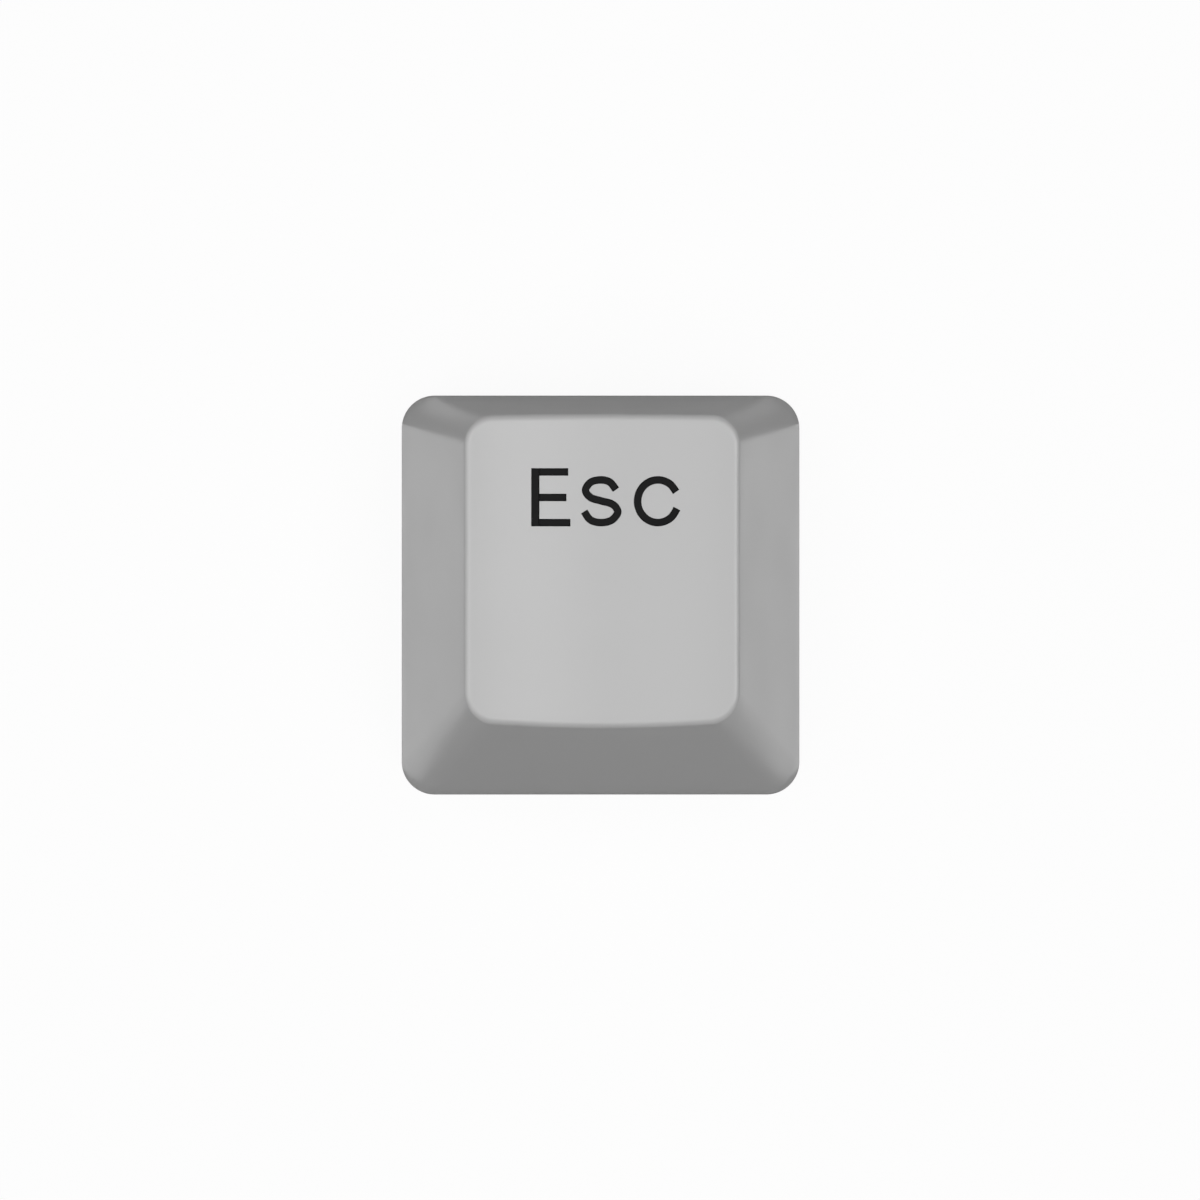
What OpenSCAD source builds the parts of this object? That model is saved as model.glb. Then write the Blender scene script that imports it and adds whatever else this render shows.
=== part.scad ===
// Keycap for a single-width key in the top row of a keyboard.
// It is one moulded piece: a hollow cap with sloping walls and a dished top, and inside it a
// round post with a cross-shaped socket that presses onto the stem of the key switch below.
// Millimetres. X runs across the key, Y from its front to its back and Z up.
// The rim stands on Z = 0 and the origin is the middle of the rim.

/* [Rim] */
// Width of the cap at the rim
base_w = 18.1; // [16.5:0.05:24]
// Depth of the cap at the rim, front to back
base_d = 18.15; // [16.5:0.05:24]
// Radius of the upright corners at the rim
base_r = 1.5; // [0.8:0.1:3]

/* [Top] */
// Width of the top between its side edges, measured before the edges are rounded
top_w = 12.15; // [10.5:0.05:14]
// Depth of the top between its front and back edges, measured before they are rounded
top_d = 13.55; // [11:0.05:15.5]
// Radius of the corners of the top
top_r = 1.35; // [0.8:0.05:3]
// Distance from the middle of the rim back to the middle of the top
top_back = 1.18; // [0:0.02:1.4]
// Height of the side edges of the top over the rim, halfway along them
top_h = 11.2; // [9.5:0.1:14]
// Angle by which the top falls toward the front, in degrees
tilt = 3; // [0:0.5:6]
// Depth of the dish in the middle of the top, under its side edges
dish_depth = 0.85; // [0.4:0.05:1.6]
// Radius of the rounding along the front and back edges of the top
edge_r = 0.34; // [0.15:0.01:0.6]
// Radius of the rounding along the side edges of the top
edge_side_r = 0.24; // [0.15:0.01:0.6]

/* [Hollow] */
// Thickness of the four walls, measured level
wall = 1.3; // [0.9:0.05:1.7]
// Thickness of the roof under the dish, measured upright
roof = 1.5; // [1:0.05:2.2]
// Radius of the upright corners of the hollow
hollow_r = 0.9; // [0.7:0.1:2]
// Radius of the rounding where the walls of the hollow meet its ceiling
nook_r = 0.4; // [0.2:0.05:0.6]

/* [Post and socket] */
// Diameter of the round post
post_d = 5.5; // [5.2:0.05:6]
// Distance by which the post stops short of the plane of the rim
post_short = 1; // [0.4:0.1:2.5]
// Length of the arm of the socket that runs across the key
arm_x_len = 4.1; // [3.9:0.05:4.4]
// Width of the arm of the socket that runs across the key
arm_x_wide = 1.2; // [1:0.05:1.5]
// Length of the arm of the socket that runs front to back
arm_y_len = 4.1; // [3.9:0.05:4.4]
// Width of the arm of the socket that runs front to back
arm_y_wide = 1.35; // [1.1:0.05:1.6]
// Depth of the socket, up from the end of the post
socket_deep = 4.6; // [3.8:0.1:5.5]
// Lead-in bevel around the mouth of the socket
lead_in = 0.2; // [0.1:0.05:0.3]

/* [Ribs] */
// Thickness of the four ribs that join the post to the walls under the ceiling
rib_t = 0.8; // [0.5:0.05:1.2]
// Height of the ribs below the middle of the ceiling
rib_h = 1.8; // [1:0.1:3]

/* [Hidden] */
// Steps around one corner, across the front or back edge, along a side edge and over the
// rounding of the top edge.
corner_n = 8;
across_n = 12;
side_n = 4;
arc_n = 5;
// Steps of each corner that the two end faces of the top take in, because strips there would
// be too thin.
end_n = 3;
// Points in the back or the front chain of an outline, and in the whole outline.
chain = 2 * corner_n + across_n + 1;
points_n = 2 * chain + 2 * (side_n - 1);
// Radius of the dish, from its depth and the width of the top.
dish_rad = (top_w * top_w / 4 + dish_depth * dish_depth) / (2 * dish_depth);
// Height of the middle of the ceiling, and of the lower edge of the ribs.
ceiling_z = top_h - dish_depth - roof;
rib_z = ceiling_z - rib_h;
// Step past a face, so that no two faces of a cut lie in one plane.
past = 0.5;

// Sub-part to draw, or all of them

// Height of the dished, tilted surface that lies a given drop below the top.
function skin_z(x, y, drop) =
    top_h - drop - dish_depth + (y - top_back) * tan(tilt)
    + dish_rad - sqrt(dish_rad * dish_rad - x * x);

// One corner of a rounded rectangle. Each entry is the point and its outward direction.
function corner(w, d, r, mid_y, k) = [
    for (j = [0:corner_n])
        let (
            a = 90 * (k + j / corner_n),
            side = (k == 0 || k == 3) ? 1 : -1,
            end = k < 2 ? 1 : -1
        )
        [side * (w / 2 - r) + r * cos(a), mid_y + end * (d / 2 - r) + r * sin(a), cos(a), sin(a)]
];

// Points between two entries, without the two themselves.
function between(p, q, n) = [for (j = [1:n - 1]) p + (q - p) * j / n];

// Whole rounded rectangle, anticlockwise from the right side of the back right corner.
function outline(w, d, r, mid_y) =
    let (c = [for (k = [0:3]) corner(w, d, r, mid_y, k)])
    [
        each c[0],
        each between(c[0][corner_n], c[1][0], across_n),
        each c[1],
        each between(c[1][corner_n], c[2][0], side_n),
        each c[2],
        each between(c[2][corner_n], c[3][0], across_n),
        each c[3],
        each between(c[3][corner_n], c[0][0], side_n)
    ];

// Edge where the line from b up to t would meet the top at the given drop, as the point and the
// direction from it in over the top. The top is taken as flat from c, where its rounding ends.
function top_edge(b, t, n, drop, r, c, tries) =
    let (
        slope = [c[0] / sqrt(dish_rad * dish_rad - c[0] * c[0]), tan(tilt)],
        level = skin_z(c[0], c[1], drop) + slope * [b[0] - c[0], b[1] - c[1]],
        e = b + (t - b) * level / (t[2] - slope * [t[0] - b[0], t[1] - b[1]]),
        inward = [-n[0], -n[1], -(n * slope)] / norm([1, n * slope]),
        half = acos((b - t) * inward / norm(b - t)) / 2
    )
    tries == 0
        ? [e, inward]
        : top_edge(b, t, n, drop, r, e + inward * r / tan(half), tries - 1);

// Point on the rounding at the edge point e, a share u of the way from the wall to the top.
// down runs down the wall from e, and inward runs over the top from e.
function round_over(e, down, inward, r, u) =
    let (
        half = acos(down * inward) / 2,
        mid = e + (down + inward) / norm(down + inward) * r / sin(half),
        from = e + down * r / tan(half) - mid,
        to = e + inward * r / tan(half) - mid,
        turn = 180 - 2 * half
    )
    mid + (from * sin((1 - u) * turn) + to * sin(u * turn)) / sin(turn);

// Rings of points of a tapered block that lies evenly inside the cap: inset from its walls,
// dropped from its top, with corner radii r_low and r_high, and with the edge of its top rounded
// by r_side along the sides and by r_end along the front and back.
function block_rings(inset, drop, r_low, r_high, r_side, r_end, low_z) =
    let (
        low = outline(base_w - 2 * inset, base_d - 2 * inset, r_low, 0),
        high = outline(top_w - 2 * inset, top_d - 2 * inset, r_high, top_back),
        lines = [
            for (i = [0:points_n - 1])
                let (
                    b = [low[i][0], low[i][1], 0],
                    t = [high[i][0], high[i][1], top_h + (high[i][1] - top_back) * tan(tilt)],
                    n = [high[i][2], high[i][3]],
                    r = r_side + (r_end - r_side) * n[1] * n[1],
                    edge = top_edge(b, t, n, drop, r, b + (t - b) * (1 - drop / top_h), 7)
                )
                [b + (t - b) * low_z / t[2], edge[0], (b - t) / norm(b - t), edge[1], r]
        ]
    )
    [
        [for (line = lines) line[0]],
        for (j = [0:arc_n])
            [
                for (line = lines)
                    let (p = round_over(line[1], line[2], line[3], line[4], j / arc_n))
                    j < arc_n ? p : [p[0], p[1], skin_z(p[0], p[1], drop)]
            ]
    ];

// Triangles that fill a face, fanned out from its first point.
function fan(face) = [for (j = [1:len(face) - 2]) [face[0], face[j], face[j + 1]]];

// The block as a solid: a flat underside, the walls, the rounded edge, and strips front to
// back over the top.
module block(inset, drop, r_low, r_high, r_side, r_end, low_z) {
    rings = block_rings(inset, drop, r_low, r_high, r_side, r_end, low_z);
    rows = len(rings);
    last = (rows - 1) * points_n;
    front = 2 * chain + side_n - 2;
    polyhedron(
        points = [for (ring = rings) each ring],
        faces = [
            [for (i = [0:points_n - 1]) (i + corner_n / 2) % points_n],
            for (j = [0:rows - 2])
                for (i = [0:points_n - 1])
                    let (
                        a = j * points_n + i,
                        b = j * points_n + (i + 1) % points_n
                    )
                    each fan([a, a + points_n, b + points_n, b]),
            for (k = [end_n:chain - 2 - end_n])
                each fan([last + k, last + front - k, last + front - k - 1, last + k + 1]),
            each fan([
                for (i = [end_n:-1:0]) last + i,
                for (i = [points_n - 1:-1:front - end_n]) last + i
            ]),
            each fan([
                last + chain - 1 - end_n,
                for (i = [front - chain + 1 + end_n:-1:chain - end_n]) last + i
            ])
        ],
        convexity = 4
    );
}

// Solid form of the cap, without its hollow.
module cap_form() {
    block(0, 0, base_r, top_r, edge_side_r, edge_r, 0);
}

// The hollow, open at the rim.
module hollow() {
    block(wall, roof, hollow_r, hollow_r, nook_r, nook_r, -past);
}

// Round post and the four ribs. They run on past the ceiling and the walls, because only
// what lies inside the hollow is kept of them.
module post_and_ribs() {
    translate([0, 0, post_short])
        cylinder(h = top_h, d = post_d, $fn = 96);
    translate([-base_w / 2, -rib_t / 2, rib_z])
        cube([base_w, rib_t, top_h]);
    translate([-rib_t / 2, -base_d / 2, rib_z])
        cube([rib_t, base_d, top_h]);
}

// Lead-in bevel of one arm of the socket, at 45 degrees. It starts outside the post and
// narrows on past the walls of the arm, so that its sides cross them.
module arm_mouth(len_x, len_y) {
    translate([0, 0, post_short - lead_in])
        linear_extrude(
            height = 3 * lead_in,
            scale = [
                (len_x - 2 * lead_in) / (len_x + 4 * lead_in),
                (len_y - 2 * lead_in) / (len_y + 4 * lead_in)
            ]
        )
            square([len_x + 4 * lead_in, len_y + 4 * lead_in], center = true);
}

// Cross-shaped socket.
module socket() {
    translate([-arm_x_len / 2, -arm_x_wide / 2, post_short - past])
        cube([arm_x_len, arm_x_wide, socket_deep + past]);
    translate([-arm_y_wide / 2, -arm_y_len / 2, post_short - past])
        cube([arm_y_wide, arm_y_len, socket_deep + past]);
    arm_mouth(arm_x_len, arm_x_wide);
    arm_mouth(arm_y_wide, arm_y_len);
}

// The whole cap: its form, less the hollow around the post and the ribs, and the socket.
module keycap() {
    color([0.72, 0.72, 0.72])
        difference() {
            cap_form();
            difference() {
                hollow();
                post_and_ribs();
            }
            socket();
        }
}

keycap();
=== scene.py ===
"""Looks of a single-width keycap of the top row: the moulded cap, the key label printed on its
dished top, and a stage of floor, soft lamps and camera.

The file is laid out as an add-on and is run as a script. Sizes are in metres, in the frame of
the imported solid: X across the key, Y from its front to its back, Z up, and the rim on Z = 0.
"""

import math

import bpy
from bpy.props import (
    FloatProperty,
    FloatVectorProperty,
    PointerProperty,
)
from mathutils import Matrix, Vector


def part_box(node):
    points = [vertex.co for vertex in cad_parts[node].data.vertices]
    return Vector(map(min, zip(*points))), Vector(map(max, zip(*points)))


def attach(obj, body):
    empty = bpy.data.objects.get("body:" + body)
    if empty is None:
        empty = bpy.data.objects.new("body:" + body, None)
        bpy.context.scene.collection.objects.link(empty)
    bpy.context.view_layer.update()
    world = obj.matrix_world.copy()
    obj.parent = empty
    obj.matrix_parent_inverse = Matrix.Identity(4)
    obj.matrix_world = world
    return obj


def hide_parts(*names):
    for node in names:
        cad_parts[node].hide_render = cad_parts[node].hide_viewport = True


bl_info = {
    "name": "Keycap",
    "version": (1, 0, 0),
    "blender": (4, 5, 0),
    "location": "3D View > Sidebar > Keycap",
    "description": "Builds a keycap with its printed label, and a stage to look at it on",
    "category": "Add Mesh",
}

MM = 0.001
NODE = "keycap"
BODY = "root"

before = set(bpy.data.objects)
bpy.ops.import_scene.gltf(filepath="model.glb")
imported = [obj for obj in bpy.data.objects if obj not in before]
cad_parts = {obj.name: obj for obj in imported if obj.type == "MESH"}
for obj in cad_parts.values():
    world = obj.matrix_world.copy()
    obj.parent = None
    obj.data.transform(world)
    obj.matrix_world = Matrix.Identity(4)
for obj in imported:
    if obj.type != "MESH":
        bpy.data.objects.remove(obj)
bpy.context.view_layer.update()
RIM_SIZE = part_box(NODE)[1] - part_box(NODE)[0]


# Sizes and colours


def length(name, description, millimetres, low=0.0, high=100.0):
    """A length property whose default is written in millimetres."""
    return FloatProperty(
        name=name,
        description=description,
        default=millimetres * MM,
        min=low * MM,
        max=high * MM,
        precision=5,
        unit="LENGTH",
    )


def colour(name, description, value):
    """A colour property, in linear values."""
    return FloatVectorProperty(
        name=name, description=description, default=value, min=0, max=1, size=3, subtype="COLOR"
    )


def share(name, description, value, high=1.0):
    """A plain number from 0 up."""
    return FloatProperty(name=name, description=description, default=value, min=0, max=high)


class KeycapSizes(bpy.types.PropertyGroup):
    """Sizes of the moulded cap. All but the rounding of the rim are those of its solid."""

    base_w: length("Rim width", "Width of the cap at the rim", RIM_SIZE.x / MM)
    base_d: length("Rim depth", "Depth of the cap at the rim", RIM_SIZE.y / MM)
    base_r: length("Rim corner", "Radius of the upright corners at the rim", 1.5)
    top_w: length("Top width", "Width of the top before its edges are rounded", 12.15)
    top_d: length("Top depth", "Depth of the top before its edges are rounded", 13.55)
    top_r: length("Top corner", "Radius of the corners of the top", 1.35)
    top_back: length("Top offset", "Distance of the top's middle behind the rim's middle", 1.18)
    top_h: length("Height", "Height of the side edges of the top, halfway along", 11.2)
    tilt: FloatProperty(
        name="Tilt",
        description="Angle by which the top falls toward the front",
        default=math.radians(3),
        min=0,
        max=math.radians(10),
        subtype="ANGLE",
    )
    dish_depth: length("Dish depth", "Depth of the dish under the side edges", 0.85)
    edge_r: length("End edges", "Radius along the front and back edges of the top", 0.34)
    edge_side_r: length("Side edges", "Radius along the side edges of the top", 0.24)
    wall: length("Wall", "Level thickness of the walls", 1.3)
    roof: length("Roof", "Upright thickness of the roof", 1.5)
    hollow_r: length("Hollow corner", "Radius of the upright corners of the hollow", 0.9)
    nook_r: length("Ceiling rounding", "Radius where the walls meet the ceiling", 0.4)
    rim_round: length("Rim rounding", "Radius of the two edges of the rim", 0.04)


class PostSizes(bpy.types.PropertyGroup):
    """Sizes of the post, its socket and the ribs under the ceiling. All but the roundings and
    the fillet are those of the solid."""

    post_d: length("Post", "Diameter of the round post", 5.5)
    post_short: length("Setback", "Distance of the post's end above the rim", 1.0)
    post_round: length("End rounding", "Radius around the end of the post", 0.15)
    root_r: length("Root fillet", "Radius where the post and ribs join the ceiling", 0.35)
    arm_x_len: length("Cross arm length", "Length of the arm across the key", 4.1)
    arm_x_wide: length("Cross arm width", "Width of the arm across the key", 1.2)
    arm_y_len: length("Long arm length", "Length of the arm front to back", 4.1)
    arm_y_wide: length("Long arm width", "Width of the arm front to back", 1.35)
    arm_round: length("Arm rounding", "Radius of the corners of the socket", 0.08)
    socket_deep: length("Socket depth", "Depth of the socket above the post's end", 4.6)
    lead_in: length("Lead-in", "Bevel around the mouth of the socket", 0.2)
    rib_t: length("Rib thickness", "Thickness of the ribs", 0.8)
    rib_h: length("Rib height", "Height of the ribs below the middle of the ceiling", 1.8)
    rib_round: length("Rib rounding", "Radius along the lower edges of the ribs", 0.12)


class LabelSizes(bpy.types.PropertyGroup):
    """Sizes of the printed label, which only this file has."""

    stem: length("Stem", "Stroke of the upright of the tall letter", 0.36)
    arm: length("Arm", "Stroke of the arms of the tall letter", 0.33)
    curve: length("Curve", "Stroke of the two round letters", 0.335)
    baseline: length("Baseline", "Place of the foot of the letters, from the rim's middle", 3.05)
    tall: length("Tall height", "Height of the tall letter", 2.58)
    small: length("Small height", "Height of the two round letters", 2.23)
    ink: length("Ink film", "Thickness of the printed film", 0.014, high=0.2)
    step: length("Step", "Distance between points along a stroke", 0.05, low=0.01)


class FinishColours(bpy.types.PropertyGroup):
    """Colours and surface qualities of the plastic and the ink."""

    plastic: colour("Plastic", "Colour of the moulded plastic", (0.52, 0.52, 0.52))
    mottle: share("Mottle", "Strength of the faint cloudiness of the colour", 0.012)
    gloss: share("Roughness", "Middle roughness of the plastic", 0.32)
    grain: length("Grain", "Size of the fine moulded grain", 0.06, low=0.001)
    grain_depth: length("Grain depth", "Depth of the moulded grain", 0.0003)
    ink: colour("Ink", "Colour of the printed ink", (0.006, 0.006, 0.0063))
    ink_gloss: share("Ink roughness", "Middle roughness of the ink", 0.55)
    ink_shine: share("Ink shine", "Strength of the ink's reflection; plastic has 0.5", 0.1)


class StageSettings(bpy.types.PropertyGroup):
    """Floor, background and camera."""

    floor_size: length("Floor", "Side of the square floor", 3000.0, high=10000.0)
    floor: colour("Floor colour", "Colour of the floor as light falls on it", (0.42, 0.42, 0.42))
    shadow: share("Shadow", "How much of the floor's real shade the camera sees", 0.1)
    mirrored: share("Mirrored", "How much of the white the gloss of the plastic shows", 0.06)
    lens: FloatProperty(
        name="Lens", description="Focal length", default=300.0, min=20.0, unit="CAMERA"
    )
    frame_w: length("View width", "Width of the view on the plane of the rim", 54.545)
    aim_x: length("Aim across", "Middle of the view on the plane of the rim", -0.026, -50)
    aim_y: length("Aim along", "Middle of the view on the plane of the rim", -0.219, -50)
    lean: length("Lean", "Sideways distance of the camera from the middle", -2.7, -500)


# Form of the cap

# Steps around one corner, across the front or back edge, and along a side edge.
CORNER_N = 24
ACROSS_N = 48
SIDE_N = 44
# Steps around an edge of the rim, up a wall, and over the edge of the top.
RIM_N = 4
WALL_N = 12
ARC_N = 10
# Steps of each corner that the outermost rows of the top take in.
END_N = 8
# Points in the back or the front chain of an outline.
CHAIN = 2 * CORNER_N + ACROSS_N + 1
# Rounds of the search for the point where the rounding of the top edge ends.
EDGE_TRIES = 8
# Steps up the post, down the socket, around a small edge and around a root fillet.
POST_N = 12
SOCKET_N = 6
EDGE_N = 4
ROOT_N = 6
# Longest side of a face along the sides of the socket.
LONGEST = 0.12 * MM
# Distance by which a rib runs on into the wall, and the steps of its fillet there.
RIB_SUNK = 0.25 * MM
RIB_N = 5
# Angle between two faces from which their edge is drawn sharp.
SHARP = math.radians(40)


def dish_radius(cap):
    """Radius of the dish, from its depth and the width of the top."""
    return (cap.top_w**2 / 4 + cap.dish_depth**2) / (2 * cap.dish_depth)


def skin_z(cap, x, y, drop=0.0):
    """Height of the dished, tilted surface that lies a given drop below the top."""
    radius = dish_radius(cap)
    return (
        cap.top_h
        - drop
        - cap.dish_depth
        + (y - cap.top_back) * math.tan(cap.tilt)
        + radius
        - math.sqrt(radius**2 - x**2)
    )


def outline(width, depth, radius, mid_y):
    """Rounded rectangle as (point, outward direction), anticlockwise from the right side of
    the back right corner, with the same number of points at every size."""
    corners = []
    for k in range(4):
        side = 1 if k in (0, 3) else -1
        end = 1 if k < 2 else -1
        middle = Vector((side * (width / 2 - radius), mid_y + end * (depth / 2 - radius)))
        turn = []
        for j in range(CORNER_N + 1):
            angle = math.pi / 2 * (k + j / CORNER_N)
            outward = Vector((math.cos(angle), math.sin(angle)))
            turn.append((middle + radius * outward, outward))
        corners.append(turn)
    points = []
    for k, steps in enumerate((ACROSS_N, SIDE_N, ACROSS_N, SIDE_N)):
        (start, outward), (end, _) = corners[k][-1], corners[(k + 1) % 4][0]
        points += corners[k]
        points += [(start.lerp(end, j / steps), outward) for j in range(1, steps)]
    return points


def wall_lines(cap, inset):
    """Foot, head and outward direction of each upright line of a wall, inset from the outside."""
    low_r, high_r = (cap.hollow_r, cap.hollow_r) if inset else (cap.base_r, cap.top_r)
    low = outline(cap.base_w - 2 * inset, cap.base_d - 2 * inset, low_r, 0.0)
    high = outline(cap.top_w - 2 * inset, cap.top_d - 2 * inset, high_r, cap.top_back)
    lines = []
    for (foot, _), (head, outward) in zip(low, high):
        rise = cap.top_h + (head.y - cap.top_back) * math.tan(cap.tilt)
        lines.append((Vector((*foot, 0.0)), Vector((*head, rise)), outward))
    return lines


def top_edge(cap, line, drop, radius):
    """Edge point where a wall line would meet the top, and the way in over the top. The top is
    taken as flat from the point where the rounding of the edge ends on it."""
    foot, head, outward = line
    rise = head - foot
    contact = foot.lerp(head, 1 - drop / cap.top_h)
    for _ in range(EDGE_TRIES):
        slope_x = contact.x / math.sqrt(dish_radius(cap) ** 2 - contact.x**2)
        slope = Vector((slope_x, math.tan(cap.tilt)))
        level = skin_z(cap, contact.x, contact.y, drop) + slope.dot((foot - contact).xy)
        edge = foot + rise * (level / (rise.z - slope.dot(rise.xy)))
        inward = Vector((-outward.x, -outward.y, -outward.dot(slope))).normalized()
        contact = edge + inward * (radius / math.tan(inward.angle(-rise) / 2))
    return edge, inward


def rounded_line(cap, line, drop, radii, rim_out):
    """Points up one line: around the edge of the rim, up the wall, and over the edge of the top,
    which lies a given drop down.
    radii are those of the edge at the sides and at the ends. rim_out is 1 where the flat of the
    rim lies inside the line and -1 where it lies outside."""
    foot, head, outward = line
    radius = radii[0] + (radii[1] - radii[0]) * outward.y**2
    edge, inward = top_edge(cap, line, drop, radius)
    down = (foot - head).normalized()
    flat = Vector((-outward.x, -outward.y, 0.0)) * rim_out
    rim_r = cap.rim_round
    rim = [round_over(foot, flat, -down, rim_r, j / RIM_N) for j in range(RIM_N + 1)]
    top = [round_over(edge, down, inward, radius, j / ARC_N) for j in range(ARC_N + 1)]
    top[-1].z = skin_z(cap, top[-1].x, top[-1].y, drop)
    wall = [rim[-1].lerp(top[0], j / WALL_N) for j in range(1, WALL_N)]
    return rim + wall + top


def round_over(edge, from_way, to_way, radius, along):
    """Point on the rounding of an edge, a share of the way round from one face to the other."""
    half = from_way.angle(to_way) / 2
    middle = edge + (from_way + to_way).normalized() * (radius / math.sin(half))
    start = edge + from_way * (radius / math.tan(half)) - middle
    end = edge + to_way * (radius / math.tan(half)) - middle
    turn = math.pi - 2 * half
    return middle + (
        start * math.sin((1 - along) * turn) + end * math.sin(along * turn)
    ) / math.sin(turn)


class Shell:
    """Points and faces of a mesh while it is being made."""

    def __init__(self):
        self.points = []
        self.faces = []

    def add(self, points):
        """Adds a ring of points and returns their numbers."""
        start = len(self.points)
        self.points += [Vector(p) for p in points]
        return list(range(start, start + len(points)))

    def skirt(self, lower, upper):
        """Joins two closed rings. The faces look outward where the rings run anticlockwise."""
        for i, a in enumerate(lower):
            j = (i + 1) % len(lower)
            self.faces.append((a, lower[j], upper[j], upper[i]))

    def lid(self, ring, centre, facing_up=True):
        """Closes a ring with a fan around a middle point."""
        middle = self.add([centre])[0]
        for i, a in enumerate(ring):
            b = ring[(i + 1) % len(ring)]
            self.faces.append((a, b, middle) if facing_up else (b, a, middle))

    def dished_lid(self, ring, cap, drop, facing_up=True):
        """Closes a ring of the cap's outline with rows of faces from its back to its front. The
        outermost rows take in the first steps of each corner, which are too narrow for a row."""
        front = 2 * CHAIN + SIDE_N - 2
        lines = [0, *range(END_N, CHAIN - END_N), CHAIN - 1]
        columns = []
        for k in lines:
            if k == 0:
                columns.append([ring[0]] + [ring[-j] for j in range(1, SIDE_N)] + [ring[front]])
                continue
            if k == CHAIN - 1:
                columns.append([ring[k + j] for j in range(SIDE_N + 1)])
                continue
            back, fore = self.points[ring[k]], self.points[ring[front - k]]
            inner = []
            for j in range(1, SIDE_N):
                p = back.lerp(fore, j / SIDE_N)
                p.z = skin_z(cap, p.x, p.y, drop)
                inner.append(p)
            columns.append([ring[k]] + self.add(inner) + [ring[front - k]])
        for i, (right, left) in enumerate(zip(columns, columns[1:])):
            first, last = lines[i], lines[i + 1]
            for j in range(SIDE_N):
                face = [right[j], left[j], left[j + 1], right[j + 1]]
                if j == 0:
                    face = ring[first : last + 1] + face[2:]
                if j == SIDE_N - 1:
                    face = face[:-2] + ring[front - last : front - first + 1]
                self.faces.append(face if facing_up else face[::-1])

    def mesh(self, name):
        """The finished mesh, smooth apart from its sharp edges."""
        mesh = bpy.data.meshes.new(name)
        mesh.from_pydata(self.points, [], self.faces)
        mesh.validate()
        mesh.shade_smooth()
        mesh.set_sharp_from_angle(angle=SHARP)
        return mesh


def add_cap_walls(shell, cap):
    """The outside, the flat of the rim and the hollow, as one closed skin."""
    edge, nook = (cap.edge_side_r, cap.edge_r), (cap.nook_r, cap.nook_r)
    outer = [rounded_line(cap, line, 0.0, edge, 1) for line in wall_lines(cap, 0.0)]
    inner = [rounded_line(cap, line, cap.roof, nook, -1) for line in wall_lines(cap, cap.wall)]
    outer_rings = [shell.add(ring) for ring in zip(*outer)]
    inner_rings = [shell.add(ring) for ring in zip(*inner)]
    for lower, upper in zip(outer_rings, outer_rings[1:]):
        shell.skirt(lower, upper)
    for lower, upper in zip(inner_rings, inner_rings[1:]):
        shell.skirt(upper, lower)
    shell.skirt(inner_rings[0], outer_rings[0])
    shell.dished_lid(outer_rings[-1], cap, 0.0)
    shell.dished_lid(inner_rings[-1], cap, cap.roof, facing_up=False)


def cross_corners(post, grow):
    """The twelve corners of the socket's cross, anticlockwise, grown by a given amount."""
    ax, aw = post.arm_x_len / 2 + grow, post.arm_x_wide / 2 + grow
    bl, bw = post.arm_y_len / 2 + grow, post.arm_y_wide / 2 + grow
    quarter = [(ax, aw), (bw, aw), (bw, bl)]
    corners = []
    for turn, (sx, sy) in enumerate(((1, 1), (-1, 1), (-1, -1), (1, -1))):
        points = [Vector((sx * x, sy * y)) for x, y in quarter]
        corners += points if turn % 2 == 0 else points[::-1]
    return corners


def rounded_polygon(corners, radius):
    """Polygon with small round corners and evenly divided sides."""
    count = len(corners)
    points = []
    for i, corner in enumerate(corners):
        before, after = corners[i - 1], corners[(i + 1) % count]
        back, ahead = (before - corner).normalized(), (after - corner).normalized()
        turned = [
            round_over(corner.to_3d(), back.to_3d(), ahead.to_3d(), radius, j / EDGE_N).to_2d()
            for j in range(EDGE_N + 1)
        ]
        points += turned
        reach = radius / math.tan(back.angle(ahead) / 2)
        start, end = turned[-1], after + (corner - after).normalized() * reach
        steps = max(1, round((end - start).length / LONGEST))
        points += [start.lerp(end, j / steps) for j in range(1, steps)]
    return points


def quarter(steps, first=0):
    """Angles of even steps through a quarter turn."""
    return [math.pi / 2 * j / steps for j in range(first, steps + 1)]


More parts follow.
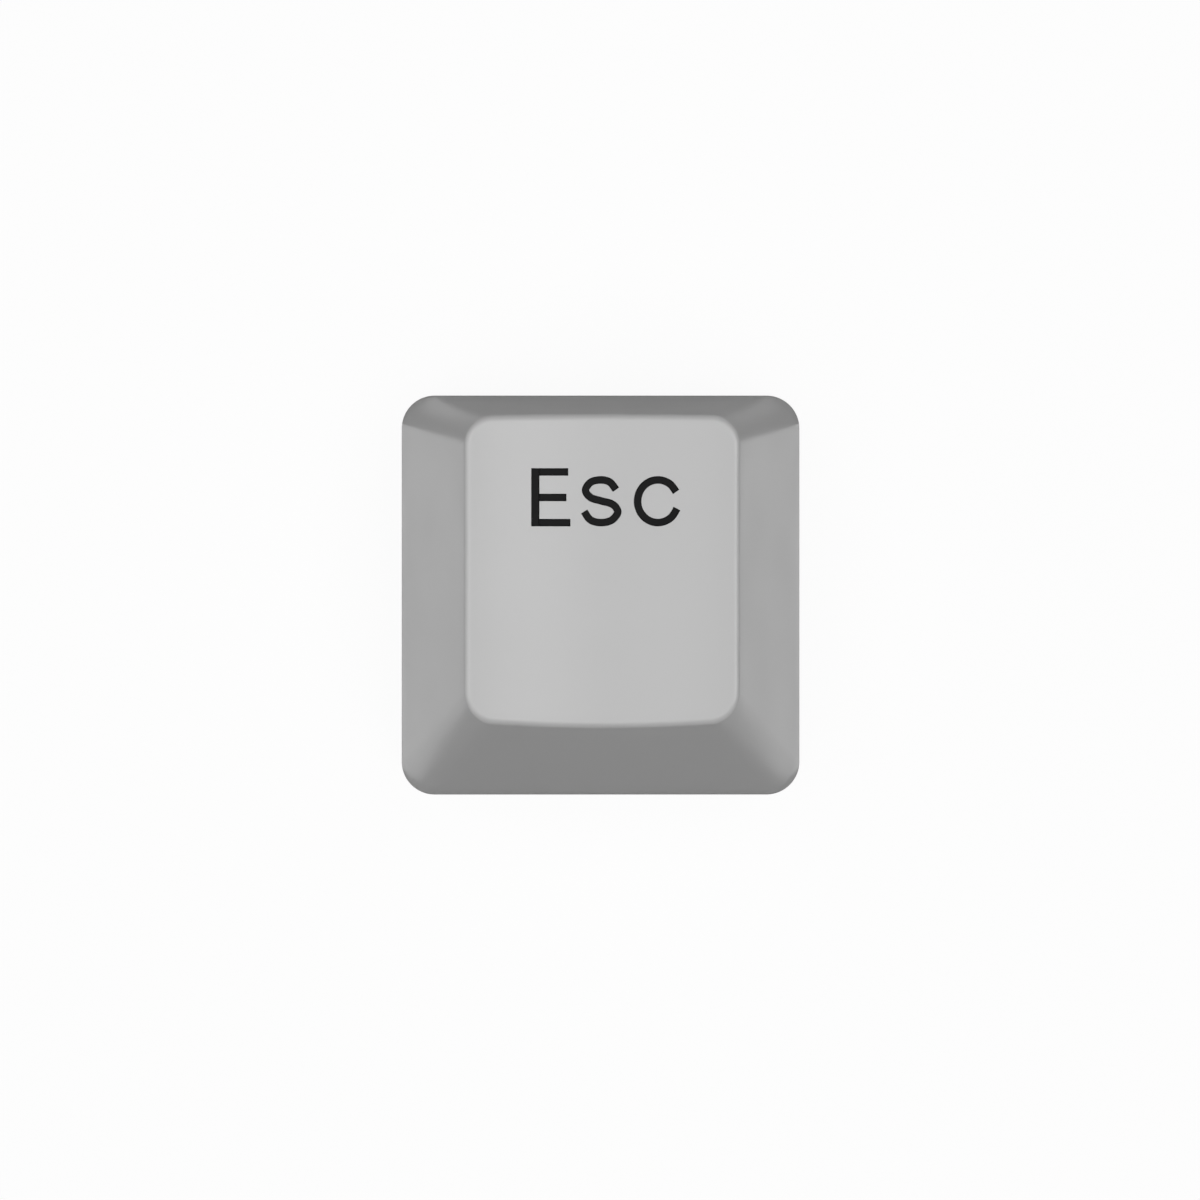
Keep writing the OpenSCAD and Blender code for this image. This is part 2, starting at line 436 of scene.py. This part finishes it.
def add_post(shell, cap, post):
    """The round post with its socket. Its head lies inside the roof."""
    arms = rounded_polygon(cross_corners(post, 0.0), post.arm_round)
    mouth = rounded_polygon(cross_corners(post, post.lead_in), post.arm_round + post.lead_in / 2)
    mouth = [match_angle(mouth, p) for p in arms]
    ways = [p.normalized() for p in arms]
    radius, end_z = post.post_d / 2, post.post_short
    root, edge = post.root_r, post.post_round
    head = cap.roof / 3

    def ring(r, height):
        return shell.add([Vector((w.x * r, w.y * r, height(w.x * r, w.y * r))) for w in ways])

    def ceiling(x, y):
        return skin_z(cap, x, y, cap.roof)

    outside = [ring(radius - edge, lambda x, y: end_z)]
    for a in quarter(EDGE_N, 1):
        r, z = radius - edge + edge * math.sin(a), end_z + edge * (1 - math.cos(a))
        outside.append(ring(r, lambda x, y, z=z: z))
    low_z = end_z + edge
    for j in range(1, POST_N):
        s = j / POST_N
        outside.append(
            ring(radius, lambda x, y, s=s: low_z + s * (ceiling(x, y) - root - low_z))
        )
    for a in quarter(ROOT_N):
        r, sink = radius + root * (1 - math.cos(a)), root * (1 - math.sin(a))
        outside.append(ring(r, lambda x, y, sink=sink: ceiling(x, y) - sink))
    outside.append(ring(radius + root, lambda x, y: ceiling(x, y) + head))
    for lower, upper in zip(outside, outside[1:]):
        shell.skirt(lower, upper)
    shell.lid(outside[-1], (0, 0, ceiling(0, 0) + head))

    inside = [shell.add([(p.x, p.y, end_z) for p in mouth])]
    throat_z, floor_z = end_z + post.lead_in, end_z + post.socket_deep
    for j in range(SOCKET_N + 1):
        z = throat_z + (floor_z - throat_z) * j / SOCKET_N
        inside.append(shell.add([(p.x, p.y, z) for p in arms]))
    shell.skirt(inside[0], outside[0])
    for lower, upper in zip(inside, inside[1:]):
        shell.skirt(upper, lower)
    shell.lid(inside[-1], (0, 0, floor_z), facing_up=False)


def match_angle(polygon, way):
    """Point of a polygon around the origin that lies in the direction of another point. A side
    that runs in that direction is passed over."""
    parallel, slack = 1e-15, 1e-6
    best = 0.0
    for i, a in enumerate(polygon):
        run = polygon[(i + 1) % len(polygon)] - a
        across = way.x * run.y - way.y * run.x
        if abs(across) < parallel:
            continue
        reach = (a.x * run.y - a.y * run.x) / across
        along = (a.x * way.y - a.y * way.x) / across
        if -slack <= along <= 1 + slack:
            best = max(best, reach)
    return way * best if best else way.copy()


def add_ribs(shell, cap, post):
    """Two bars that cross inside the post, each from wall to wall under the ceiling."""
    lines = wall_lines(cap, cap.wall)
    left = lines[CHAIN + SIDE_N // 2]
    right = lines[-SIDE_N // 2]
    back = lines[CORNER_N + ACROSS_N // 2]
    front = lines[CHAIN + SIDE_N - 1 + CORNER_N + ACROSS_N // 2]
    add_bar(shell, cap, post, 0, left, right)
    add_bar(shell, cap, post, 1, front, back)


def add_bar(shell, cap, post, axis, start, end):
    """One bar along an axis, between two wall lines. It grows thicker towards each wall. The
    free stations in its middle stay within a part of the span, clear of both fillets."""
    root = post.root_r
    near = [-RIB_SUNK] + [root * j / RIB_N for j in range(RIB_N + 1)]
    stations = [(start, 1, reach) for reach in near]
    stations += [(None, part, 0) for part in (0.25, 0.5, 0.75)]
    stations += [(end, -1, reach) for reach in reversed(near)]
    free_span = 0.7
    height_tries = 3
    rings = []
    for wall, way, reach in stations:
        close = root - max(0.0, reach) if wall else 0.0
        grow = root - math.sqrt(root**2 - close**2)
        ring = []
        for side, height, hangs in rib_section(cap, post, grow):
            z = height
            for _ in range(height_tries):
                if wall:
                    foot, head = wall[:2]
                    along = foot[axis] + (head[axis] - foot[axis]) * z / head.z + way * reach
                else:
                    low, high = start[0][axis] * free_span, end[0][axis] * free_span
                    along = low + (high - low) * way
                x, y = (along, side) if axis == 0 else (side, along)
                z = skin_z(cap, x, y, cap.roof) + height if hangs else height
            ring.append((x, y, z))
        rings.append(shell.add(ring))
    if axis == 0:
        rings.reverse()
    for a, b in zip(rings, rings[1:]):
        shell.skirt(a, b)
    for ring, outward in ((rings[0], False), (rings[-1], True)):
        middle = sum((shell.points[i] for i in ring), Vector()) / len(ring)
        shell.lid(ring, middle, facing_up=outward)


def rib_section(cap, post, grow):
    """Section of a rib as (sideways, height, hangs), from inside the roof down one side and up
    the other. A height that hangs is counted from the ceiling."""
    half, edge, root = post.rib_t / 2 + grow, post.rib_round, post.root_r
    low = cap.top_h - cap.dish_depth - cap.roof - post.rib_h - grow
    points = [(half + root, root, True)]
    for a in reversed(quarter(ROOT_N)):
        points.append((half + root * (1 - math.cos(a)), -root * (1 - math.sin(a)), True))
    for a in quarter(EDGE_N):
        points.append((half - edge + edge * math.cos(a), low + edge - edge * math.sin(a), False))
    return points + [(-side, height, hangs) for side, height, hangs in reversed(points)]


# Label

# Places in millimetres, from the middle of the rim. The tall letter has its left edge and the
# right end of its lower, middle and upper arm, with the height of the middle one over the foot.
E_LEFT = -3.14
E_ENDS = (-1.4, -1.58, -1.5)
E_MIDDLE = 1.282
# Gap that keeps the arms from touching the stem, too narrow to be seen.
E_GAP = 0.002
# Middle of the second letter, and the points of its bend around that middle.
S_MIDDLE = -0.05
S_BEND = (
    (0.67, 0.52),
    (0.40, 0.86),
    (0.0, 0.96),
    (-0.44, 0.86),
    (-0.68, 0.5),
    (-0.46, 0.17),
    (0.0, 0.02),
    (0.52, -0.14),
    (0.75, -0.48),
    (0.48, -0.85),
    (0.0, -0.96),
    (-0.46, -0.84),
    (-0.74, -0.46),
)
# Height of the bend over its middle.
S_HALF = 0.96
# Middle of the third letter, half its width, and the angles in degrees of its first and last
# point with the number of steps between them.
C_MIDDLE = 2.48
C_HALF = 0.9
C_TURN = (26, 340, 12)
# Points across a stroke.
NIB_N = 7
# Height from which the points of the label are dropped on the cap, in metres.
DROP_FROM = 0.05
# Distance within which points of the film are joined, in metres.
WELD = 1e-7


def label_strokes(label):
    """Middle lines of the strokes of the word on an escape key, with their widths, in
    millimetres from the middle of the rim. A smooth stroke is a curve through its points."""
    foot = label.baseline / MM
    tall, small = label.tall / MM, label.small / MM
    stem, arm, curve = label.stem / MM, label.arm / MM, label.curve / MM
    upright = E_LEFT + stem / 2
    strokes = [([(upright, foot), (upright, foot + tall)], stem, False)]
    inner = E_LEFT + stem + E_GAP
    for right, height in zip(E_ENDS, (arm / 2, E_MIDDLE, tall - arm / 2)):
        strokes.append(([(inner, foot + height), (right, foot + height)], arm, False))
    middle = foot + small / 2
    half = (small - curve) / 2
    bend = [(S_MIDDLE + x, middle + y * half / S_HALF) for x, y in S_BEND]
    strokes.append((bend, curve, True))
    first, last, steps = C_TURN
    ring = []
    for j in range(steps + 1):
        angle = math.radians(first + (last - first) * j / steps)
        ring.append((C_MIDDLE + C_HALF * math.cos(angle), middle + half * math.sin(angle)))
    strokes.append((ring, curve, True))
    return strokes


def stroke_guides(label):
    """Guide lines of the label as a wire mesh, with the width and the kind of each stroke."""
    points, edges, widths, smooth = [], [], [], []
    for stroke, width, is_smooth in label_strokes(label):
        start = len(points)
        points += [(x * MM, y * MM, 0.0) for x, y in stroke]
        edges += [(start + j, start + j + 1) for j in range(len(stroke) - 1)]
        widths += [width * MM] * len(stroke)
        smooth += [is_smooth] * len(stroke)
    mesh = bpy.data.meshes.new("label")
    mesh.from_pydata(points, edges, [])
    mesh.attributes.new("stroke", "FLOAT", "POINT").data.foreach_set("value", widths)
    mesh.attributes.new("smooth", "BOOLEAN", "POINT").data.foreach_set("value", smooth)
    return mesh


class Tree:
    """Small helper that adds nodes to a node tree and joins them."""

    def __init__(self, tree):
        self.tree = tree
        self.column = 0

    def node(self, kind, settings=None, **inputs):
        """Adds a node, sets its properties and joins or fills its inputs by name."""
        made = self.tree.nodes.new(kind)
        made.location = (self.column * 180, 0)
        self.column += 1
        for key, value in (settings or {}).items():
            setattr(made, key, value)
        for key, value in inputs.items():
            self.put(made, key.replace("_", " "), value)
        return made

    def put(self, made, key, value):
        """Joins an output to an input, or sets the input's own value."""
        socket = made.inputs[int(key) if key.isdigit() else key]
        if isinstance(value, bpy.types.NodeSocket):
            self.tree.links.new(value, socket)
        else:
            socket.default_value = value


def label_tree():
    """Node tree that turns guide lines into a film of ink lying on the cap."""
    tree = bpy.data.node_groups.new("printed strokes", "GeometryNodeTree")
    face = tree.interface
    face.new_socket("Guides", in_out="INPUT", socket_type="NodeSocketGeometry")
    face.new_socket("Cap", in_out="INPUT", socket_type="NodeSocketObject")
    for name in ("Step", "Film", "Sink"):
        made = face.new_socket(name, in_out="INPUT", socket_type="NodeSocketFloat")
        made.subtype = "DISTANCE"
    face.new_socket("Ink", in_out="INPUT", socket_type="NodeSocketMaterial")
    face.new_socket("Label", in_out="OUTPUT", socket_type="NodeSocketGeometry")
    t = Tree(tree)
    given = t.node("NodeGroupInput").outputs
    width = t.node("GeometryNodeInputNamedAttribute", {"data_type": "FLOAT"}, Name="stroke")
    smooth = t.node("GeometryNodeInputNamedAttribute", {"data_type": "BOOLEAN"}, Name="smooth")
    curves = t.node("GeometryNodeMeshToCurve", Mesh=given["Guides"])
    splines = t.node(
        "GeometryNodeCurveSplineType",
        {"spline_type": "CATMULL_ROM"},
        Curve=curves.outputs["Curve"],
        Selection=smooth.outputs["Attribute"],
    )
    even = t.node(
        "GeometryNodeResampleCurve",
        {"mode": "LENGTH"},
        Curve=splines.outputs["Curve"],
        Length=given["Step"],
    )
    upright = t.node("GeometryNodeSetCurveNormal", {"mode": "Z_UP"}, Curve=even.outputs["Curve"])
    nib = t.node("GeometryNodeCurvePrimitiveLine", Start=(-0.5, 0, 0), End=(0.5, 0, 0))
    nib_points = t.node(
        "GeometryNodeResampleCurve", {"mode": "COUNT"}, Curve=nib.outputs["Curve"], Count=NIB_N
    )
    ribbon = t.node(
        "GeometryNodeCurveToMesh",
        Curve=upright.outputs["Curve"],
        Profile_Curve=nib_points.outputs["Curve"],
        Scale=width.outputs["Attribute"],
    )
    cap = t.node("GeometryNodeObjectInfo", {"transform_space": "ORIGINAL"}, Object=given["Cap"])
    place = t.node("GeometryNodeInputPosition")
    lifted = t.node("ShaderNodeVectorMath", {"operation": "ADD"})
    t.put(lifted, "0", place.outputs["Position"])
    lifted.inputs[1].default_value = (0, 0, DROP_FROM)
    fall = t.node(
        "GeometryNodeRaycast",
        Target_Geometry=cap.outputs["Geometry"],
        Source_Position=lifted.outputs[0],
        Ray_Direction=(0, 0, -1),
        Ray_Length=2 * DROP_FROM,
    )
    sunk = t.node("ShaderNodeCombineXYZ", Z=given["Sink"])
    below = t.node("ShaderNodeVectorMath", {"operation": "SUBTRACT"})
    t.put(below, "0", fall.outputs["Hit Position"])
    t.put(below, "1", sunk.outputs[0])
    laid = t.node(
        "GeometryNodeSetPosition", Geometry=ribbon.outputs["Mesh"], Position=below.outputs[0]
    )
    up = t.node("ShaderNodeCombineXYZ", Z=1.0)
    thick = t.node("ShaderNodeMath", {"operation": "ADD"})
    t.put(thick, "0", given["Film"])
    t.put(thick, "1", given["Sink"])
    raised = t.node(
        "GeometryNodeExtrudeMesh",
        {"mode": "FACES"},
        Mesh=laid.outputs["Geometry"],
        Offset=up.outputs[0],
        Offset_Scale=thick.outputs[0],
        Individual=False,
    )
    under = t.node("GeometryNodeFlipFaces", Mesh=laid.outputs["Geometry"])
    both = t.node("GeometryNodeJoinGeometry")
    t.put(both, "0", raised.outputs["Mesh"])
    t.put(both, "0", under.outputs["Mesh"])
    joined = t.node("GeometryNodeMergeByDistance", Geometry=both.outputs[0], Distance=WELD)
    real = t.node("GeometryNodeRealizeInstances", Geometry=joined.outputs[0])
    inked = t.node("GeometryNodeSetMaterial", Geometry=real.outputs[0], Material=given["Ink"])
    t.node("NodeGroupOutput", Label=inked.outputs[0])
    return tree


def plain_copy(obj):
    """Replaces an object's mesh by what its modifiers make of it, and drops the modifiers."""
    graph = bpy.context.evaluated_depsgraph_get()
    made = bpy.data.meshes.new_from_object(obj.evaluated_get(graph), depsgraph=graph)
    obj.modifiers.clear()
    old, obj.data = obj.data, made
    bpy.data.meshes.remove(old)
    made.name = obj.name
    return obj


# Finishes

# Patches of the slow cloudiness to the metre.
CLOUDS = 260.0
# Values between which nearly all of a noise texture lies.
NOISE_LOW = 0.3
NOISE_HIGH = 0.7
# Index of refraction of plastic and ink.
IOR = 1.5
# Colour of the floor for the part of its real shade that the camera sees.
PAPER = (0.97, 0.97, 0.97, 1)


def grain_group():
    """Shader group of the fine moulded grain: its height, and a slow cloudiness."""
    group = bpy.data.node_groups.new("moulded grain", "ShaderNodeTree")
    face = group.interface
    face.new_socket("Size", in_out="INPUT", socket_type="NodeSocketFloat")
    face.new_socket("Height", in_out="OUTPUT", socket_type="NodeSocketFloat")
    face.new_socket("Cloud", in_out="OUTPUT", socket_type="NodeSocketFloat")
    t = Tree(group)
    given = t.node("NodeGroupInput").outputs
    place = t.node("ShaderNodeTexCoord")
    often = t.node("ShaderNodeMath", {"operation": "DIVIDE"})
    often.inputs[0].default_value = 1.0
    t.put(often, "1", given["Size"])
    fine = t.node(
        "ShaderNodeTexNoise",
        Vector=place.outputs["Object"],
        Scale=often.outputs[0],
        Detail=3.0,
        Roughness=0.6,
    )
    slow = t.node(
        "ShaderNodeTexNoise",
        Vector=place.outputs["Object"],
        Scale=CLOUDS,
        Detail=4.0,
        Roughness=0.5,
    )
    out = t.node("NodeGroupOutput")
    t.put(out, "Height", fine.outputs["Fac"])
    t.put(out, "Cloud", slow.outputs["Fac"])
    return group


def remap(t, value, low, high):
    """Spreads a noise value over a range."""
    made = t.node("ShaderNodeMapRange")
    t.put(made, "Value", value)
    made.inputs["From Min"].default_value = NOISE_LOW
    made.inputs["From Max"].default_value = NOISE_HIGH
    made.inputs["To Min"].default_value = low
    made.inputs["To Max"].default_value = high
    return made.outputs[0]


def new_finish(name):
    """Empty material with its shader and output, and a helper for its nodes."""
    material = bpy.data.materials.new(name)
    material.use_nodes = True
    material.node_tree.nodes.clear()
    t = Tree(material.node_tree)
    shader = t.node("ShaderNodeBsdfPrincipled")
    out = t.node("ShaderNodeOutputMaterial", Surface=shader.outputs[0])
    return material, t, shader, out


def grained_finish(name, colour_value, mottle, gloss, spread, shine, size, depth):
    """Moulded or printed surface: cloudy colour, uneven gloss and a fine grain."""
    material, t, shader, _ = new_finish(name)
    grain = bpy.data.node_groups.get("moulded grain") or grain_group()
    group = t.node("ShaderNodeGroup", {"node_tree": grain})
    group.inputs["Size"].default_value = size
    cloud, height = group.outputs["Cloud"], group.outputs["Height"]
    tint = t.node("ShaderNodeMix", {"data_type": "RGBA"})
    t.put(tint, "0", remap(t, cloud, 0.0, 1.0))
    dark_end, light_end = tint.inputs[6], tint.inputs[7]
    dark_end.default_value = (*[c * (1 - mottle) for c in colour_value], 1)
    light_end.default_value = (*[min(1.0, c * (1 + mottle)) for c in colour_value], 1)
    t.put(shader, "Base Color", tint.outputs[2])
    t.put(shader, "Roughness", remap(t, cloud, gloss - spread, gloss + spread))
    bump = t.node("ShaderNodeBump", Height=height)
    bump.inputs["Strength"].default_value = 1.0
    bump.inputs["Distance"].default_value = depth
    t.put(shader, "Normal", bump.outputs[0])
    shader.inputs["IOR"].default_value = IOR
    shader.inputs["Specular IOR Level"].default_value = shine
    return material


def plastic_finish(finish):
    """Satin light grey plastic."""
    return grained_finish(
        "cap plastic",
        finish.plastic,
        mottle=finish.mottle,
        gloss=finish.gloss,
        spread=0.03,
        shine=0.5,
        size=finish.grain,
        depth=finish.grain_depth,
    )


def ink_finish(finish):
    """Black printed ink. Its grain is finer and its colour cloudier than the plastic's."""
    return grained_finish(
        "label ink",
        finish.ink,
        mottle=0.12,
        gloss=finish.ink_gloss,
        spread=0.06,
        shine=finish.ink_shine,
        size=finish.grain / 2,
        depth=finish.grain_depth,
    )


def seen_white(t, mirrored):
    """How far a ray sees the white background: the camera's own rays and those through glass
    wholly, and mirrored rays by a share."""
    path = t.node("ShaderNodeLightPath")
    glossy = t.node("ShaderNodeMath", {"operation": "MULTIPLY"})
    t.put(glossy, "0", path.outputs["Is Glossy Ray"])
    glossy.inputs[1].default_value = mirrored
    direct = t.node("ShaderNodeMath", {"operation": "MAXIMUM"})
    t.put(direct, "0", path.outputs["Is Camera Ray"])
    t.put(direct, "1", path.outputs["Is Transmission Ray"])
    seen = t.node("ShaderNodeMath", {"operation": "MAXIMUM"})
    t.put(seen, "0", direct.outputs[0])
    t.put(seen, "1", glossy.outputs[0])
    return seen.outputs[0]


def floor_finish(stage):
    """Pale floor. It is seen white, with a part of its own shade."""
    material, t, shader, out = new_finish("pale floor")
    shader.inputs["Base Color"].default_value = (*stage.floor, 1)
    shader.inputs["Roughness"].default_value = 0.9
    shader.inputs["Specular IOR Level"].default_value = 0.0
    paper = t.node("ShaderNodeBsdfDiffuse")
    paper.inputs["Color"].default_value = PAPER
    white = t.node("ShaderNodeEmission")
    white.inputs["Strength"].default_value = 1.0
    shade = t.node("ShaderNodeMixShader", Fac=1 - stage.shadow)
    t.put(shade, "1", paper.outputs[0])
    t.put(shade, "2", white.outputs[0])
    pick = t.node("ShaderNodeMixShader", Fac=seen_white(t, stage.mirrored))
    t.put(pick, "1", shader.outputs[0])
    t.put(pick, "2", shade.outputs[0])
    t.put(out, "Surface", pick.outputs[0])
    return material


# Operators

# Fewest faces of a label that came out whole.
LABEL_FACES = 100


def new_object(name, mesh):
    """Links a mesh to the scene as an object at the origin."""
    obj = bpy.data.objects.new(name, mesh)
    bpy.context.scene.collection.objects.link(obj)
    return obj


class KEYCAP_OT_cap(bpy.types.Operator):
    """Build the moulded cap: its walls, dished top, hollow, post, socket and ribs"""

    bl_idname = "keycap.cap"
    bl_label = "Cap"

    def execute(self, context):
        cap, post = context.scene.keycap_sizes, context.scene.keycap_post
        shell = Shell()
        add_cap_walls(shell, cap)
        add_post(shell, cap, post)
        add_ribs(shell, cap, post)
        obj = new_object("cap", shell.mesh("cap"))
        obj.data.materials.append(plastic_finish(context.scene.keycap_finish))
        even = obj.modifiers.new("even shading", "WEIGHTED_NORMAL")
        even.mode = "FACE_AREA"
        even.keep_sharp = True
        plain_copy(obj)
        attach(obj, BODY)
        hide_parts(NODE)
        return {"FINISHED"}


class KEYCAP_OT_label(bpy.types.Operator):
    """Print the key label on the dished top"""

    bl_idname = "keycap.label"
    bl_label = "Label"

    def execute(self, context):
        cap = context.scene.objects.get("cap")
        if cap is None:
            raise RuntimeError("the label needs the cap: build the cap first")
        label = context.scene.keycap_label
        obj = new_object("label", stroke_guides(label))
        modifier = obj.modifiers.new("printed strokes", "NODES")
        modifier.node_group = label_tree()
        wanted = {
            "Cap": cap,
            "Step": label.step,
            "Film": label.ink,
            "Sink": label.ink / 2,
            "Ink": ink_finish(context.scene.keycap_finish),
        }
        for item in modifier.node_group.interface.items_tree:
            if item.item_type == "SOCKET" and item.name in wanted:
                modifier[item.identifier] = wanted[item.name]
        plain_copy(obj)
        if len(obj.data.polygons) < LABEL_FACES:
            raise RuntimeError("the label came out empty")
        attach(obj, BODY)
        return {"FINISHED"}


# Stage

# Distance of the floor below the rim, so that the two don't lie in one plane.
FLOOR_DROP = 0.01 * MM
# Distance of the bright cards above the rim's plane.
CARD_LIFT = 0.02 * MM
# Point at which the lamps are aimed.
LAMP_AIM = Vector((0, 0, 6 * MM))
# Width of the camera's sensor in millimetres, and in metres the nearest and the farthest
# that it sees.
SENSOR = 36.0
NEAR, FAR = 0.01, 20.0

# Soft lamps: name, azimuth and elevation in degrees, distance, width and height in metres, and
# power in watts.
LAMPS = (
    ("overhead", 0, 90, 0.45, 0.6, 0.6, 2.1),
    ("high right", 0, 70, 0.45, 0.2, 0.2, 0.28),
    ("high left", 180, 70, 0.45, 0.2, 0.2, 0.09),
    ("low left", 181, 20, 0.4, 0.25, 0.25, 0.13),
)

# Bright cards that lie beside the cap and show only in its gloss: name, the left, right, front
# and back edge in millimetres, and brightness, where 1 is white.
CARDS = (
    ("left card", -20, -9.03, -10, 7.8, 0.66),
    ("right card", 9.03, 20, -10, 7.8, 0.67),
    ("front right card", 9.3, 20, -20, -10, 0.28),
    ("back left card", -9.8, -7.5, 9.3, 14, 0.32),
    ("back right card", 7.5, 9.8, 9.3, 14, 0.16),
)


class KEYCAP_OT_stage(bpy.types.Operator):
    """Set up the floor, the soft lamps, the bright cards and the camera"""

    bl_idname = "keycap.stage"
    bl_label = "Stage"

    def execute(self, context):
        stage = context.scene.keycap_stage
        half, z = stage.floor_size / 2, -FLOOR_DROP
        mesh = bpy.data.meshes.new("floor")
        corners = [(-half, -half, z), (half, -half, z), (half, half, z), (-half, half, z)]
        mesh.from_pydata(corners, [], [(0, 1, 2, 3)])
        floor = new_object("floor", mesh)
        floor.data.materials.append(floor_finish(stage))
        add_world(context.scene, stage)
        add_lamps()
        add_cards()
        add_camera(context.scene, stage)
        return {"FINISHED"}


def add_world(scene, stage):
    """Surroundings that give no light of their own and are seen white."""
    world = bpy.data.worlds.new("studio")
    scene.world = world
    world.use_nodes = True
    world.node_tree.nodes.clear()
    t = Tree(world.node_tree)
    background = t.node("ShaderNodeBackground", Strength=seen_white(t, stage.mirrored))
    t.node("ShaderNodeOutputWorld", Surface=background.outputs[0])


def add_lamps():
    """Soft area lamps, all aimed at the middle of the cap."""
    for name, azimuth, height, distance, wide, tall, power in LAMPS:
        lamp = new_lamp(name, wide, tall, power)
        a, e = math.radians(azimuth), math.radians(height)
        way = Vector((math.cos(a) * math.cos(e), math.sin(a) * math.cos(e), math.sin(e)))
        lamp.location = LAMP_AIM + way * distance
        lamp.rotation_euler = way.to_track_quat("Z", "Y").to_euler()


def add_cards():
    """Cards that face up from the floor. Matt surfaces take no light from them."""
    for name, left, right, front, back, bright in CARDS:
        wide, deep = (right - left) * MM, (back - front) * MM
        card = new_lamp(name, wide, deep, bright * math.pi * wide * deep)
        card.location = ((left + right) / 2 * MM, (front + back) / 2 * MM, CARD_LIFT)
        card.rotation_euler = (math.pi, 0.0, 0.0)
        card.visible_diffuse = False


def new_lamp(name, wide, tall, power):
    """Rectangular area lamp that the camera doesn't see."""
    data = bpy.data.lights.new(name, "AREA")
    data.shape = "RECTANGLE"
    data.size, data.size_y, data.energy = wide, tall, power
    lamp = bpy.data.objects.new(name, data)
    lamp.visible_camera = False
    bpy.context.scene.collection.objects.link(lamp)
    return lamp


def add_camera(scene, stage):
    """Long lens straight above the cap, with the back of the key at the top of the picture."""
    data = bpy.data.cameras.new("camera")
    data.lens = stage.lens
    data.sensor_width = SENSOR
    data.clip_start, data.clip_end = NEAR, FAR
    camera = bpy.data.objects.new("camera", data)
    high = stage.frame_w * stage.lens / data.sensor_width
    aim = Vector((stage.aim_x, stage.aim_y, 0.0))
    camera.location = aim + Vector((stage.lean, 0.0, high))
    camera.rotation_euler = (0.0, math.atan2(stage.lean, high), 0.0)
    scene.collection.objects.link(camera)
    scene.camera = camera


# Panel and registration


class KEYCAP_PT_panel(bpy.types.Panel):
    """Lists the pieces of the keycap and its sizes"""

    bl_label = "Keycap"
    bl_idname = "KEYCAP_PT_panel"
    bl_space_type = "VIEW_3D"
    bl_region_type = "UI"
    bl_category = "Keycap"

    def draw(self, context):
        scene, layout = context.scene, self.layout
        for operator in OPERATORS:
            layout.operator(operator.bl_idname)
        for title, _, attribute in GROUPS:
            box = layout.box()
            box.label(text=title)
            group = getattr(scene, attribute)
            for key in group.bl_rna.properties.keys():
                if key not in ("rna_type", "name"):
                    box.prop(group, key)


OPERATORS = (KEYCAP_OT_cap, KEYCAP_OT_label, KEYCAP_OT_stage)
GROUPS = (
    ("Cap", KeycapSizes, "keycap_sizes"),
    ("Post", PostSizes, "keycap_post"),
    ("Label", LabelSizes, "keycap_label"),
    ("Finish", FinishColours, "keycap_finish"),
    ("Stage", StageSettings, "keycap_stage"),
)


def register():
    """Registers the settings, the operators and the panel."""
    for _, group, attribute in GROUPS:
        bpy.utils.register_class(group)
        setattr(bpy.types.Scene, attribute, PointerProperty(type=group))
    for cls in (*OPERATORS, KEYCAP_PT_panel):
        bpy.utils.register_class(cls)


def unregister():
    """Takes back what register set up."""
    for cls in (KEYCAP_PT_panel, *reversed(OPERATORS)):
        bpy.utils.unregister_class(cls)
    for _, group, attribute in reversed(GROUPS):
        delattr(bpy.types.Scene, attribute)
        bpy.utils.unregister_class(group)


def main():
    """Builds everything in order."""
    register()
    bpy.context.scene.view_settings.view_transform = "Standard"
    bpy.ops.keycap.cap()
    bpy.ops.keycap.label()
    bpy.ops.keycap.stage()


if __name__ == "__main__":
    main()
